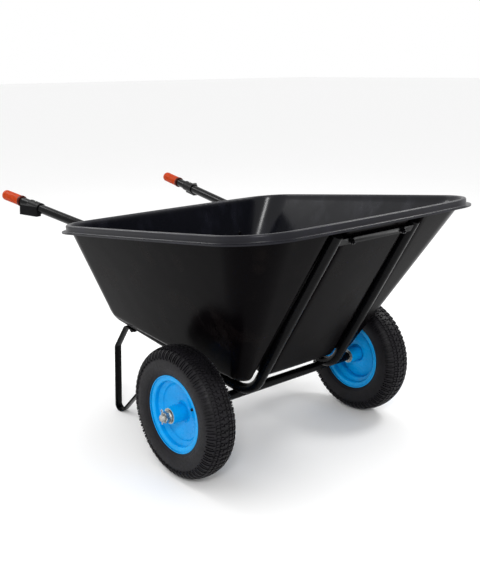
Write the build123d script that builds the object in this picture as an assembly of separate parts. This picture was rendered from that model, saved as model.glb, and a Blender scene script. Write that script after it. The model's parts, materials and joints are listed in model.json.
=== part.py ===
from build123d import *
import copy
import math
import os

# Two-wheeled garden wheelbarrow with a deep moulded tub. Millimetres.
# +X points forward, +Y to the user's left, +Z up. While the pieces are made, x = 0 is the
# axle and z = 0 the ground; at the end the whole barrow is moved so that its origin is the
# middle of its footprint on the ground.

# ---- wheels ----
WHEEL_DIAMETER = 400.0
TYRE_WIDTH = 96.0
TRACK = 760.0
TYRE_WALL = 9.0
TUBE_WALL = 2.5
RIM_SEAT_RADIUS = 101.0
RIM_FLANGE_RADIUS = 114.5
RIM_FLANGE_OFFSET = 35.0
RIM_WELL_RADIUS = 88.0
RIM_SEAT_WIDTH_SHARE = 0.5
RIM_WELL_WIDTH_SHARE = 0.3
RIM_METAL = 2.5
DISC_OFFSET = 4.0
TYRE_SEAT_GAP = 0.3
HUB_LENGTH = 104.0
HUB_WALL = 2.5
BEARING_BORE = 20.0
BEARING_OUTSIDE = 47.0
BEARING_WIDTH = 14.0
JOURNAL_CLEARANCE = 0.05
VALVE_RADIUS = 4.0
VALVE_LENGTH = 40.0
VALVE_THREAD = 8.0
VALVE_ROOT = 7.0
VALVE_ANGLE = 25.0

# ---- axle ----
BEAM_DIAMETER = 30.0
BEAM_WALL = 2.0
STUB_INSERT = 60.0
WASHER_THICKNESS = 3.0
WASHER_DIAMETER = 37.0
AXLE_NUT_FLATS = 30.0
AXLE_NUT_HEIGHT = 16.0
AXLE_END = 10.0
SPLIT_PIN_DIAMETER = 4.0
HUB_END_PLAY = 0.3

# ---- side tubes ----
TUBE_DIAMETER = 32.0
TUBE_METAL = 1.8
GRIP_END = (-1092.0, 370.0, 718.0)
RIM_BEND = (-562.0, 309.5, 649.0)
REAR_BEND = (-541.0, 264.0, 360.0)
FRONT_BEND = (68.6, 173.0, 216.0)
FRONT_TOP = (390.0, 160.0, 748.0)
RIM_BEND_RADIUS = 55.0
REAR_BEND_RADIUS = 60.0
FRONT_BEND_RADIUS = 88.0

# ---- tub ----
WALL = 4.0
RIM_BACK = -553.0
RIM_FRONT = 419.0
RIM_HALF_BACK = 475.0
RIM_HALF_FRONT = 470.0
RIM_RADIUS_BACK = 120.0
RIM_RADIUS_FRONT = 150.0
SIDE_BOW = 4.0
END_BOW = 8.0
RIM_HEIGHT = 740.0
RIM_RISE = 0.104
BEAD_WIDTH = 12.0
BEAD_THICKNESS = 5.0
SKIRT_DEPTH = 24.0
LIP_WIDTH = 14.0
FLOOR_BACK = -515.0
FLOOR_FRONT = 92.0
FLOOR_HALF_BACK = 318.0
FLOOR_HALF_FRONT = 240.0
FLOOR_RADIUS = 70.0
FLOOR_HEIGHT_BACK = 370.0
FLOOR_HEIGHT_FRONT = 270.0
FLOOR_ROUNDING = 40.0
CHANNEL_WIDTH = 58.0
CHANNEL_GAP = 3.0

# ---- legs, straps, fixings ----
LEG_WIDTH = 26.0
LEG_METAL = 6.0
LEG_TOP_X = -477.0
LEG_KNEE_X = -532.0
LEG_KNEE_Z = 240.0
LEG_LEAN = 3.0
LEG_STRUT_ANGLE = 46.5
LEG_PAD = 46.0
LEG_FOOT_RADIUS = 20.0
LEG_BEND_RADIUS = 14.0
STRAP_HEIGHT = 22.0
STRAP_METAL = 4.0
BOLT_DIAMETER = 8.0
BOLT_HEAD_DIAMETER = 20.0
BOLT_HEAD_HEIGHT = 4.5
FLUSH_HEAD_DIAMETER = 16.0
FLUSH_HEAD_HEIGHT = 3.0
FLUSH_HEAD_DEPTH = 0.8
BOLT_NUT_FLATS = 13.0
BOLT_NUT_HEIGHT = 6.5
BOLT_WASHER_DIAMETER = 20.0
BOLT_WASHER_THICKNESS = 1.6
BOLT_CLEARANCE = 0.25
REAR_BOLT_DROP = 90.0
STRAP_BOLT_Y = 105.0

# ---- grips and guards ----
GRIP_LENGTH = 112.0
GRIP_DIAMETER = 38.0
GRIP_COLLAR_DIAMETER = 41.0
GRIP_COLLAR_LENGTH = 10.0
GRIP_GAP = 0.15
GUARD_REACH = 50.0
GUARD_LENGTH = 62.0
GUARD_HEIGHT = 36.0
GUARD_DROP = 10.0
GUARD_OFFSET = 52.0
GUARD_SLEEVE_WALL = 3.5
GUARD_SCREW_DIAMETER = 4.0
GUARD_SCREW_LENGTH = 9.0
GUARD_SCREW_HEAD = 8.0

# ---- values worked out from the sizes above ----
WHEEL_RADIUS = WHEEL_DIAMETER / 2
HALF_TRACK = TRACK / 2
HUB_OUTSIDE = BEARING_OUTSIDE + 2 * HUB_WALL
BEAM_HALF = HALF_TRACK - HUB_LENGTH / 2 - WASHER_THICKNESS - HUB_END_PLAY
TUBE_RADIUS = TUBE_DIAMETER / 2
JOURNAL_RADIUS = BEARING_BORE / 2 - JOURNAL_CLEARANCE
NUT_INNER_Y = HALF_TRACK + HUB_LENGTH / 2 + HUB_END_PLAY + WASHER_THICKNESS
AXLE_TIP_Y = NUT_INNER_Y + AXLE_NUT_HEIGHT + AXLE_END
RIM_MIDDLE = (RIM_BACK + RIM_FRONT) / 2
FLOOR_SLOPE = (FLOOR_HEIGHT_FRONT - FLOOR_HEIGHT_BACK) / (FLOOR_FRONT - FLOOR_BACK)


def sloped_plane(x, z, slope):
    """Plane through (x, 0, z) whose local X climbs by slope and whose local Y is +Y."""
    return Plane(origin=(x, 0, z), x_dir=(1, 0, slope), z_dir=(-slope, 0, 1))


RIM_PLANE = sloped_plane(RIM_MIDDLE, RIM_HEIGHT, RIM_RISE)
FLOOR_PLANE = sloped_plane(FLOOR_BACK, FLOOR_HEIGHT_BACK, FLOOR_SLOPE)


def rounded_outline(back, front, half_back, half_front, radius_back, radius_front, bow_side, bow_end):
    """Flat face: a rounded trapezoid whose four sides bow slightly outwards."""
    back_right, back_left = (back, -half_back), (back, half_back)
    front_right, front_left = (front, -half_front), (front, half_front)
    middle = (back + front) / 2
    half_middle = (half_back + half_front) / 2
    edges = [
        ThreePointArc(back_right, (middle, -half_middle - bow_side), front_right),
        ThreePointArc(front_right, (front + bow_end, 0), front_left),
        ThreePointArc(front_left, (middle, half_middle + bow_side), back_left),
        ThreePointArc(back_left, (back - bow_end, 0), back_right),
    ]
    face = make_face(edges)
    corners = face.vertices().group_by(Axis.X)
    face = fillet(corners[0], radius_back)
    return fillet([v for v in face.vertices().sort_by(Axis.X)[-2:]], radius_front)


def rim_outline(offset, level=0.0):
    """Rim outline grown by offset, on the rim plane raised by level."""
    face = rounded_outline(
        RIM_BACK - RIM_MIDDLE - offset, RIM_FRONT - RIM_MIDDLE + offset,
        RIM_HALF_BACK + offset, RIM_HALF_FRONT + offset,
        RIM_RADIUS_BACK + offset, RIM_RADIUS_FRONT + offset, SIDE_BOW, END_BOW)
    return RIM_PLANE.offset(level).location * face


def floor_outline(inset, level=0.0):
    """Floor outline shrunk by inset, on the floor plane raised by level."""
    face = rounded_outline(
        inset, FLOOR_FRONT - FLOOR_BACK - inset,
        FLOOR_HALF_BACK - inset, FLOOR_HALF_FRONT - inset,
        FLOOR_RADIUS - inset, FLOOR_RADIUS - inset, SIDE_BOW, SIDE_BOW)
    return FLOOR_PLANE.offset(level).location * face


def tub_body(inset):
    """Closed tapering body of the tub, shrunk by inset on every side but the top."""
    top = rim_outline(-BEAD_WIDTH - inset, -BEAD_THICKNESS)
    body = loft([floor_outline(inset, inset), top], ruled=True)
    floor_edges = body.faces().sort_by(Axis.Z)[0].edges()
    return fillet(floor_edges, FLOOR_ROUNDING - inset)


def tube_points(side):
    """Corner points of one side tube; side is -1 for the right tube and 1 for the left."""
    corners = (GRIP_END, RIM_BEND, REAR_BEND, FRONT_BEND, FRONT_TOP)
    return [Vector(x, side * y, z) for x, y, z in corners]


def tube_path(side):
    radii = [RIM_BEND_RADIUS, REAR_BEND_RADIUS, FRONT_BEND_RADIUS]
    return FilletPolyline(tube_points(side), radius=radii)


def tube_along(path, outer, inner=0.0):
    """Round tube or bar swept along a path."""
    start = Plane(origin=path @ 0, z_dir=path % 0)
    section = start * Circle(outer)
    body = sweep(section, path=path)
    if inner > 0:
        body -= sweep(start * Circle(inner), path=path)
    return body


def channel_block(side, margin):
    """Bar along the front run of a tube: cuts the channel in the tub's front wall."""
    points = tube_points(side)
    low, high = points[3], points[4]
    run = (high - low).normalized()
    across = Vector(0, 1, 0) - run * run.Y
    half_depth = TUBE_RADIUS + CHANNEL_GAP + margin
    length = (high - low).length + TUBE_DIAMETER + 2 * TUBE_METAL + CHANNEL_GAP
    bar_plane = Plane(origin=low - run * TUBE_DIAMETER, x_dir=across, z_dir=run)
    front_room = 2 * TUBE_DIAMETER
    profile = Pos(0, (front_room - half_depth) / 2) * Rectangle(
        CHANNEL_WIDTH + 2 * margin, half_depth + front_room)
    outward = bar_plane.y_dir.X
    if outward < 0:
        profile = mirror(profile, about=Plane.XZ)
    bar = extrude(bar_plane * profile, amount=length + margin)
    inner_edges = bar.edges().filter_by(lambda e: abs((e % 0.5).dot(run)) > 0.99).sort_by(Axis.X)[:2]
    return fillet(inner_edges, TUBE_RADIUS / 2 + margin)


def make_tub():
    channels = [channel_block(side, 0.0) for side in (-1, 1)]
    ridges = [channel_block(side, WALL) for side in (-1, 1)]
    outer = tub_body(0.0)
    inner = tub_body(WALL)
    for channel, ridge in zip(channels, ridges):
        outer -= channel
        inner -= ridge
    return outer - inner + make_rim_band()


def make_rim_band():
    """Turned-down rim of the tub: a flat bead, a skirt hanging from its edge and a lip."""
    top = extrude(rim_outline(0.0, -BEAD_THICKNESS), amount=BEAD_THICKNESS)
    top -= extrude(rim_outline(-BEAD_WIDTH - WALL, -BEAD_THICKNESS), amount=BEAD_THICKNESS)
    skirt = extrude(rim_outline(0.0, -SKIRT_DEPTH), amount=SKIRT_DEPTH)
    skirt -= extrude(rim_outline(-WALL, -SKIRT_DEPTH), amount=SKIRT_DEPTH)
    lip = extrude(rim_outline(LIP_WIDTH, -SKIRT_DEPTH), amount=WALL)
    lip -= extrude(rim_outline(-WALL, -SKIRT_DEPTH), amount=WALL)
    return top + skirt + lip


def tube_run(side, first, second):
    """Start point and unit direction of one straight run of a side tube."""
    points = tube_points(side)
    start, end = points[first], points[second]
    return start, (end - start).normalized()


def upward_normal(run):
    """Unit vector square to a run, in the upright plane that holds it, pointing up."""
    level = Vector(0, 0, 1).cross(run).normalized()
    return run.cross(level)


def crossing(solid, point, direction, reach):
    """Where a line enters and leaves a solid, nearest stretch to the point, as two points."""
    line = Line(point - direction * reach, point + direction * reach)
    stretches = (line & solid).edges()
    nearest = min(stretches, key=lambda e: (e.center() - point).length)
    ends = sorted([nearest @ 0, nearest @ 1], key=lambda p: (p - point).dot(direction))
    return ends[0], ends[1]


def hexagon_nut(plane, flats, height, bore):
    nut = extrude(plane * RegularPolygon(flats / 2, 6, major_radius=False), amount=height)
    return nut - extrude(plane * Circle(bore), amount=height)


def ring(plane, outer, inner, height):
    return extrude(plane * (Circle(outer) - Circle(inner)), amount=height)


def carriage_bolt(plane, length):
    """Bolt whose domed head stands on the plane, with its shank going down along -normal."""
    head_radius = BOLT_HEAD_DIAMETER / 2
    sphere_radius = (head_radius ** 2 + BOLT_HEAD_HEIGHT ** 2) / (2 * BOLT_HEAD_HEIGHT)
    dome = Pos(0, 0, BOLT_HEAD_HEIGHT - sphere_radius) * Sphere(sphere_radius)
    dome &= Pos(0, 0, BOLT_HEAD_HEIGHT / 2) * Box(BOLT_HEAD_DIAMETER, BOLT_HEAD_DIAMETER, BOLT_HEAD_HEIGHT)
    shank = Pos(0, 0, -length / 2) * Cylinder(BOLT_DIAMETER / 2, length)
    return plane.location * (dome + shank)


def flush_head(margin):
    """Countersunk head with its flat top on the XY plane, grown by margin."""
    top_radius = FLUSH_HEAD_DIAMETER / 2 + margin
    return Pos(0, 0, -FLUSH_HEAD_HEIGHT / 2) * Cone(BOLT_DIAMETER / 2 + margin, top_radius, FLUSH_HEAD_HEIGHT)


def flush_bolt(plane, length):
    """Countersunk bolt with the top of its head on the plane and its shank going down along -normal."""
    shank = Pos(0, 0, -length / 2) * Cylinder(BOLT_DIAMETER / 2, length)
    return plane.location * (flush_head(0.0) + shank)


def flush_seat(plane):
    """Cutter for a countersunk head's seat, open to the side the bolt goes in from."""
    way_in = Cylinder(FLUSH_HEAD_DIAMETER / 2 + BOLT_CLEARANCE, BOLT_HEAD_HEIGHT)
    return plane.location * (flush_head(BOLT_CLEARANCE) + Pos(0, 0, BOLT_HEAD_HEIGHT / 2) * way_in)


def domed_seat(plane):
    """Cutter that levels the tub's wall under a domed head."""
    levelled = Cylinder(BOLT_HEAD_DIAMETER / 2 + BOLT_CLEARANCE, 2 * BOLT_HEAD_HEIGHT)
    return plane.location * (Pos(0, 0, BOLT_HEAD_HEIGHT) * levelled)


def bolt_hole(plane, length):
    """Cutter for a bolt's hole, reaching length both ways along the plane's normal."""
    return plane.location * Cylinder(BOLT_DIAMETER / 2 + BOLT_CLEARANCE, 2 * length)


def fixing_set(plane, stack, make_bolt):
    """Bolt, washer and nut for a bolt through a stack of metal and plastic of this thickness."""
    tail = stack + BOLT_WASHER_THICKNESS + BOLT_NUT_HEIGHT + BOLT_DIAMETER / 2
    bolt = make_bolt(plane, tail)
    hole_radius = BOLT_DIAMETER / 2
    washer_plane = plane.offset(-stack - BOLT_WASHER_THICKNESS)
    washer = ring(washer_plane, BOLT_WASHER_DIAMETER / 2, hole_radius + BOLT_CLEARANCE, BOLT_WASHER_THICKNESS)
    nut_plane = washer_plane.offset(-BOLT_NUT_HEIGHT)
    nut = hexagon_nut(nut_plane, BOLT_NUT_FLATS, BOLT_NUT_HEIGHT, hole_radius)
    return bolt, washer, nut


def make_leg(side):
    """Flat bar: a pad under the tube, a knee, a rounded foot and a strut back up to the tube."""
    start, run = tube_run(side, 2, 3)
    plan = Vector(run.X, run.Y, 0).normalized()
    leg_plane = Plane(origin=(start.X, start.Y, 0), x_dir=plan, z_dir=plan.cross(Vector(0, 0, 1)))
    fall = run.Z / Vector(run.X, run.Y, 0).length
    drop = (TUBE_RADIUS + LEG_METAL / 2) * math.sqrt(1 + fall ** 2)

    def along(x):
        return (x - start.X) / plan.X

    def under_tube(u):
        return start.Z + fall * u - drop

    top = along(LEG_TOP_X)
    knee = (along(LEG_KNEE_X), LEG_KNEE_Z)
    down = (-math.sin(math.radians(LEG_LEAN)), -math.cos(math.radians(LEG_LEAN)))
    strut = (math.cos(math.radians(LEG_STRUT_ANGLE)), math.sin(math.radians(LEG_STRUT_ANGLE)))
    middle = (strut[0] - down[0], strut[1] - down[1])
    middle_length = math.hypot(*middle)
    half_angle = math.acos(-(strut[0] * down[0] + strut[1] * down[1])) / 2
    rise = middle[1] / middle_length * LEG_FOOT_RADIUS / math.sin(half_angle)
    foot_z = LEG_FOOT_RADIUS + LEG_METAL / 2 - rise
    foot = (knee[0] + down[0] * (foot_z - knee[1]) / down[1], foot_z)
    reach = (under_tube(foot[0]) - foot[1]) / (strut[1] - fall * strut[0])
    strut_top = foot[0] + reach * strut[0]
    points = [
        (top + LEG_PAD, under_tube(top + LEG_PAD)), (top, under_tube(top)), knee, foot,
        (strut_top, under_tube(strut_top)), (strut_top + LEG_PAD, under_tube(strut_top + LEG_PAD)),
    ]
    bends = [LEG_BEND_RADIUS, LEG_BEND_RADIUS, LEG_FOOT_RADIUS, LEG_BEND_RADIUS]
    profile = trace(FilletPolyline(points, radius=bends), line_width=LEG_METAL)
    leg = extrude(leg_plane * profile, amount=LEG_WIDTH / 2, both=True)
    bolt_places = [start + run * ((u + LEG_PAD * 0.6) * math.sqrt(1 + fall ** 2))
                   for u in (top, strut_top)]
    return leg, bolt_places


def make_grip(side):
    start, run = tube_run(side, 0, 1)
    end_wall = GRIP_GAP + TUBE_METAL
    outer_end = Plane(origin=start - run * end_wall, z_dir=run)
    body = extrude(outer_end * Circle(GRIP_DIAMETER / 2), amount=GRIP_LENGTH)
    body = fillet(body.edges().group_by(lambda e: e.center().X)[0], GRIP_DIAMETER / 6)
    collar_plane = outer_end.offset(GRIP_LENGTH - GRIP_COLLAR_LENGTH)
    collar = extrude(collar_plane * Circle(GRIP_COLLAR_DIAMETER / 2), amount=GRIP_COLLAR_LENGTH)
    collar = fillet(collar.edges(), GRIP_COLLAR_LENGTH / 4)
    bore_plane = Plane(origin=start - run * GRIP_GAP, z_dir=run)
    return body + collar - extrude(bore_plane * Circle(TUBE_RADIUS + GRIP_GAP), amount=2 * GRIP_LENGTH)


def guard_plane(side):
    """Plane at the guard's rear edge: normal along the tube, local X outboard."""
    start, run = tube_run(side, 0, 1)
    outboard = Vector(0, side, 0)
    outboard = (outboard - run * outboard.dot(run)).normalized()
    return Plane(origin=start + run * (GRIP_LENGTH + GUARD_OFFSET), x_dir=outboard, z_dir=run)


def make_guard(side):
    """Hand guard: a sleeve on the tube with a wedge that stands outboard."""
    plane = guard_plane(side)
    up = plane.y_dir.Z
    drop = -GUARD_DROP if up > 0 else GUARD_DROP
    wedge_base = plane * (Pos(GUARD_REACH / 2, drop) * Rectangle(GUARD_REACH, GUARD_HEIGHT))
    tip_plane = plane.offset(GUARD_LENGTH)
    tip_width = TUBE_RADIUS + GUARD_SLEEVE_WALL
    wedge_tip = tip_plane * (Pos(tip_width / 2, drop) * Rectangle(tip_width, GUARD_HEIGHT))
    wedge = loft([wedge_base, wedge_tip], ruled=True)
    wedge = fillet(wedge.edges(), GUARD_SLEEVE_WALL / 2)
    sleeve = extrude(plane * Circle(TUBE_RADIUS + GUARD_SLEEVE_WALL), amount=GUARD_LENGTH)
    bore = extrude(plane.offset(-GUARD_LENGTH) * Circle(TUBE_RADIUS + GRIP_GAP), amount=3 * GUARD_LENGTH)
    return wedge + sleeve - bore


def guard_screw_frame(side):
    """Plane on top of the guard's sleeve, where its screw goes down into the tube."""
    plane = guard_plane(side)
    normal = upward_normal(plane.z_dir)
    centre = plane.origin + plane.z_dir * (GUARD_LENGTH / 2)
    return Plane(origin=centre + normal * (TUBE_RADIUS + GUARD_SLEEVE_WALL), z_dir=normal)


def make_guard_screw(side):
    frame = guard_screw_frame(side)
    head = Pos(0, 0, GUARD_SCREW_HEAD / 8) * Cylinder(GUARD_SCREW_HEAD / 2, GUARD_SCREW_HEAD / 4)
    head = fillet(head.edges().sort_by(Axis.Z)[-1], GUARD_SCREW_HEAD / 8)
    slot_length = GUARD_SCREW_HEAD * 0.45
    slot_width = GUARD_SCREW_HEAD * 0.12
    for turn in (0, 90):
        cross = Rot(0, 0, turn) * Box(slot_length, slot_width, GUARD_SCREW_HEAD / 4)
        head -= Pos(0, 0, GUARD_SCREW_HEAD / 4) * cross
    shank = Pos(0, 0, -GUARD_SCREW_LENGTH / 2) * Cylinder(GUARD_SCREW_DIAMETER / 2, GUARD_SCREW_LENGTH)
    return frame.location * (head + shank)


def screw_hole(side):
    frame = guard_screw_frame(side)
    radius = GUARD_SCREW_DIAMETER / 2 + BOLT_CLEARANCE
    return frame.location * Cylinder(radius, 2 * (GUARD_SCREW_LENGTH + GRIP_GAP))


def make_tube_plug(side):
    """Domed plastic plug pressed into the open front end of a side tube."""
    path = tube_path(side)
    end = Plane(origin=path @ 1, z_dir=path % 1)
    plug_radius = TUBE_RADIUS - TUBE_METAL - GRIP_GAP
    head = extrude(end * Circle(TUBE_RADIUS), amount=TUBE_METAL * 2)
    head = fillet(head.edges().sort_by(Axis.Z)[-1], TUBE_METAL)
    return head + extrude(end.offset(-TUBE_DIAMETER / 2) * Circle(plug_radius), amount=TUBE_DIAMETER / 2)


def make_strap():
    """Flat strap that joins the front ends of the tubes, lying on the tub's front wall."""
    _, run = tube_run(1, 3, 4)
    slope = Vector(run.X, 0, run.Z).normalized()
    top = tube_points(1)[4]
    outward = Vector(slope.Z, 0, -slope.X)
    wall_gap = TUBE_RADIUS / 2
    centre = Vector(top.X, 0, top.Z) - slope * (STRAP_HEIGHT / 2 + STRAP_METAL) + outward * wall_gap
    plane = Plane(origin=centre, x_dir=(0, 1, 0), z_dir=outward)
    strap = extrude(plane * Rectangle(2 * top.Y, STRAP_HEIGHT), amount=STRAP_METAL)
    for side in (-1, 1):
        strap -= tube_along(tube_path(side), TUBE_RADIUS)
    return strap, plane


def make_beam():
    along_y = Plane(origin=(0, -BEAM_HALF, WHEEL_RADIUS), z_dir=(0, 1, 0))
    outer = BEAM_DIAMETER / 2
    return ring(along_y, outer, outer - BEAM_WALL, 2 * BEAM_HALF)


def outward_plane(side, y):
    """Plane on the axle line at a distance y from the middle, facing outwards."""
    return Plane(origin=(0, side * y, WHEEL_RADIUS), x_dir=(1, 0, 0), z_dir=(0, side, 0))


def make_stub_axle(side):
    insert = outward_plane(side, BEAM_HALF - STUB_INSERT)
    stub = extrude(insert * Circle(BEAM_DIAMETER / 2 - BEAM_WALL), amount=STUB_INSERT)
    journal = outward_plane(side, BEAM_HALF)
    stub += extrude(journal * Circle(JOURNAL_RADIUS), amount=AXLE_TIP_Y - BEAM_HALF)
    stub = chamfer(stub.edges().sort_by(Axis.Y)[-1 if side > 0 else 0], 1.5)
    pin_y = side * (AXLE_TIP_Y - AXLE_END / 2)
    return stub - Pos(0, pin_y, WHEEL_RADIUS) * Cylinder(SPLIT_PIN_DIAMETER / 2, BEARING_BORE * 2)


def make_split_pin(side):
    pin_y = side * (AXLE_TIP_Y - AXLE_END / 2)
    radius = SPLIT_PIN_DIAMETER / 2 - BOLT_CLEARANCE / 2
    shank = Pos(0, pin_y, WHEEL_RADIUS) * Cylinder(radius, BEARING_BORE + 4 * SPLIT_PIN_DIAMETER)
    eye_z = WHEEL_RADIUS + BEARING_BORE / 2 + 3 * SPLIT_PIN_DIAMETER
    eye = Pos(0, pin_y, eye_z) * Rot(90, 0, 0) * Torus(SPLIT_PIN_DIAMETER, radius * 0.8)
    return shank + eye


def place_wheel_piece(side, body):
    """Move a piece made round the Y axis, outboard along +Y, to one wheel's place."""
    if side < 0:
        body = mirror(body, about=Plane.XZ)
    return Pos(0, side * HALF_TRACK, WHEEL_RADIUS) * body


def tyre_section(inset):
    """Half-width, full-height outline of the tyre's cross-section, shrunk by inset."""
    half = TYRE_WIDTH / 2 - inset
    crown = WHEEL_RADIUS - inset
    shoulder = (WHEEL_RADIUS - 15.0 - inset * 0.8, half - 7.0)
    widest = ((WHEEL_RADIUS + RIM_FLANGE_RADIUS) / 2 - 4.0, half)
    flange = (RIM_FLANGE_RADIUS + 1.5 + inset * 0.6, RIM_FLANGE_OFFSET - inset * 0.2)
    return crown, shoulder, widest, flange


def make_tyre(side):
    crown, shoulder, widest, flange = tyre_section(0.0)
    bead = RIM_SEAT_RADIUS + TYRE_SEAT_GAP
    bead_half = RIM_FLANGE_OFFSET - RIM_METAL - TYRE_SEAT_GAP
    outside = [
        Line((bead, bead_half), (flange[0], bead_half)),
        Line((flange[0], bead_half), (flange[0] + 3, flange[1] + 2)),
        Spline([(flange[0] + 3, flange[1] + 2), widest, shoulder], tangents=[(0.55, 0.8), (0.85, -0.5)]),
        ThreePointArc(shoulder, (crown, 0), (shoulder[0], -shoulder[1])),
        Spline([(shoulder[0], -shoulder[1]), (widest[0], -widest[1]), (flange[0] + 3, -flange[1] - 2)],
               tangents=[(-0.85, -0.5), (-0.55, 0.8)]),
        Line((flange[0] + 3, -flange[1] - 2), (flange[0], -bead_half)),
        Line((flange[0], -bead_half), (bead, -bead_half)),
    ]
    inner_crown, inner_shoulder, inner_widest, inner_flange = tyre_section(TYRE_WALL)
    bead_inner = bead_half - TYRE_WALL
    inside = [
        Line((bead, -bead_half), (bead, -bead_inner)),
        Line((bead, -bead_inner), (inner_flange[0], -bead_inner)),
        Spline([(inner_flange[0], -bead_inner), (inner_widest[0], -inner_widest[1]),
                (inner_shoulder[0], -inner_shoulder[1])], tangents=[(0.55, -0.8), (0.85, 0.5)]),
        ThreePointArc((inner_shoulder[0], -inner_shoulder[1]), (inner_crown, 0),
                      (inner_shoulder[0], inner_shoulder[1])),
        Spline([(inner_shoulder[0], inner_shoulder[1]), (inner_widest[0], inner_widest[1]),
                (inner_flange[0], bead_inner)], tangents=[(-0.85, 0.5), (-0.55, -0.8)]),
        Line((inner_flange[0], bead_inner), (bead, bead_inner)),
        Line((bead, bead_inner), (bead, bead_half)),
    ]
    section = make_face(outside + inside)
    return place_wheel_piece(side, revolve(section, axis=Axis.Y))


def make_inner_tube(side):
    """Inflated rubber ring between the tyre's walls and the rim's well."""
    low = RIM_SEAT_RADIUS + 4.0
    high = WHEEL_RADIUS - TYRE_WALL - 6.0
    half = RIM_FLANGE_OFFSET - RIM_METAL - TYRE_WALL - 2.0
    centre = (low + high) / 2
    outer = Pos(centre, 0) * Ellipse((high - low) / 2, half)
    inner = Pos(centre, 0) * Ellipse((high - low) / 2 - TUBE_WALL, half - TUBE_WALL)
    return place_wheel_piece(side, revolve(outer - inner, axis=Axis.Y))


def rim_section():
    """Points of the rim's outer surface from the outboard flange to the well, as (radius, offset)."""
    flange, seat, well = RIM_FLANGE_RADIUS, RIM_SEAT_RADIUS, RIM_WELL_RADIUS
    edge = RIM_FLANGE_OFFSET
    return [(flange, edge), (flange, edge - RIM_METAL), (seat, edge - RIM_METAL),
            (seat, edge * RIM_SEAT_WIDTH_SHARE), (well, edge * RIM_WELL_WIDTH_SHARE)]


def make_rim(side):
    """Pressed rim: two flanges, bead seats and a well, with a dished disc welded inside."""
    half = rim_section()
    m = RIM_METAL
    seat, well = RIM_SEAT_RADIUS, RIM_WELL_RADIUS
    edge = RIM_FLANGE_OFFSET
    inner_half = [(seat - m, edge), (seat - m, edge * RIM_SEAT_WIDTH_SHARE + m * 0.6),
                  (well - m, edge * RIM_WELL_WIDTH_SHARE + m * 0.6)]
    outline = half + [(r, -o) for r, o in reversed(half)]
    outline += [(r, -o) for r, o in inner_half] + [(r, o) for r, o in reversed(inner_half)]
    barrel = revolve(make_face(Polyline(outline, close=True)), axis=Axis.Y)
    hub = HUB_OUTSIDE / 2
    disc_points = [
        (well - m, DISC_OFFSET + m), (well - 3 * m, DISC_OFFSET), (hub + 6 * m, DISC_OFFSET - 4 * m),
        (hub, DISC_OFFSET - 4 * m), (hub, DISC_OFFSET - 5 * m), (hub + 7 * m, DISC_OFFSET - 5 * m),
        (well - 2.4 * m, DISC_OFFSET - m), (well - m, DISC_OFFSET),
    ]
    disc = revolve(make_face(Polyline(disc_points, close=True)), axis=Axis.Y)
    rim = barrel + disc
    return place_wheel_piece(side, rim - valve_hole())


def valve_frame():
    """Local frame of the valve: on the outboard slope of the rim's well, pointing at the hub."""
    angle = math.radians(VALVE_ANGLE)
    radial = Vector(math.cos(angle), 0, math.sin(angle))
    outboard = RIM_FLANGE_OFFSET * RIM_SEAT_WIDTH_SHARE - VALVE_RADIUS / 2
    return Plane(origin=radial * (RIM_SEAT_RADIUS + VALVE_ROOT) + Vector(0, outboard, 0), z_dir=radial * -1)


def valve_hole():
    return extrude(valve_frame() * Circle(VALVE_RADIUS + BOLT_CLEARANCE), amount=VALVE_LENGTH)


def make_valve(side):
    stem = extrude(valve_frame() * Circle(VALVE_RADIUS), amount=VALVE_LENGTH - VALVE_THREAD)
    stem += extrude(valve_frame() * Circle(VALVE_RADIUS - 1.0), amount=VALVE_LENGTH)
    return place_wheel_piece(side, stem)


def make_valve_cap(side):
    frame = valve_frame().offset(VALVE_LENGTH - VALVE_THREAD + GRIP_GAP)
    cap = extrude(frame * Circle(VALVE_RADIUS + 0.5), amount=VALVE_THREAD + 1.0)
    cap -= extrude(frame * Circle(VALVE_RADIUS - 1.0 + GRIP_GAP / 2), amount=VALVE_THREAD)
    return place_wheel_piece(side, cap)


def make_hub(side):
    outer, bore = HUB_OUTSIDE / 2, BEARING_OUTSIDE / 2
    plane = Plane(origin=(0, -HUB_LENGTH / 2, 0), z_dir=(0, 1, 0))
    hub = ring(plane, outer, bore - HUB_WALL, HUB_LENGTH)
    for low in (-HUB_LENGTH / 2, HUB_LENGTH / 2 - BEARING_WIDTH):
        pocket = Plane(origin=(0, low, 0), z_dir=(0, 1, 0))
        hub -= extrude(pocket * Circle(bore), amount=BEARING_WIDTH)
    return place_wheel_piece(side, hub)


def make_bearings(side):
    """Two sealed ball bearings, one pressed into each end of the hub."""
    bearings = []
    for low in (-HUB_LENGTH / 2, HUB_LENGTH / 2 - BEARING_WIDTH):
        plane = Plane(origin=(0, low, 0), z_dir=(0, 1, 0))
        body = ring(plane, BEARING_OUTSIDE / 2, BEARING_BORE / 2, BEARING_WIDTH)
        for face_y in (low, low + BEARING_WIDTH - 1.0):
            groove = Plane(origin=(0, face_y, 0), z_dir=(0, 1, 0))
            body -= ring(groove, BEARING_OUTSIDE / 2 - 4.0, BEARING_BORE / 2 + 3.0, 1.0)
        bearings.append(place_wheel_piece(side, body))
    return bearings


def make_axle_washers(side):
    outer, inner = WASHER_DIAMETER / 2, BEARING_BORE / 2
    washers = []
    for y in (BEAM_HALF, NUT_INNER_Y - WASHER_THICKNESS):
        washers.append(ring(outward_plane(side, y), outer, inner, WASHER_THICKNESS))
    return washers


def make_axle_nut(side):
    nut = hexagon_nut(outward_plane(side, NUT_INNER_Y), AXLE_NUT_FLATS, AXLE_NUT_HEIGHT, BEARING_BORE / 2)
    slope_plane = outward_plane(side, NUT_INNER_Y + AXLE_NUT_HEIGHT)
    cone_radius = AXLE_NUT_FLATS / 2 * 1.02
    cone = extrude(slope_plane.offset(-AXLE_NUT_HEIGHT) * Circle(cone_radius + AXLE_NUT_HEIGHT),
                   amount=AXLE_NUT_HEIGHT, taper=45)
    return nut & cone


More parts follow.
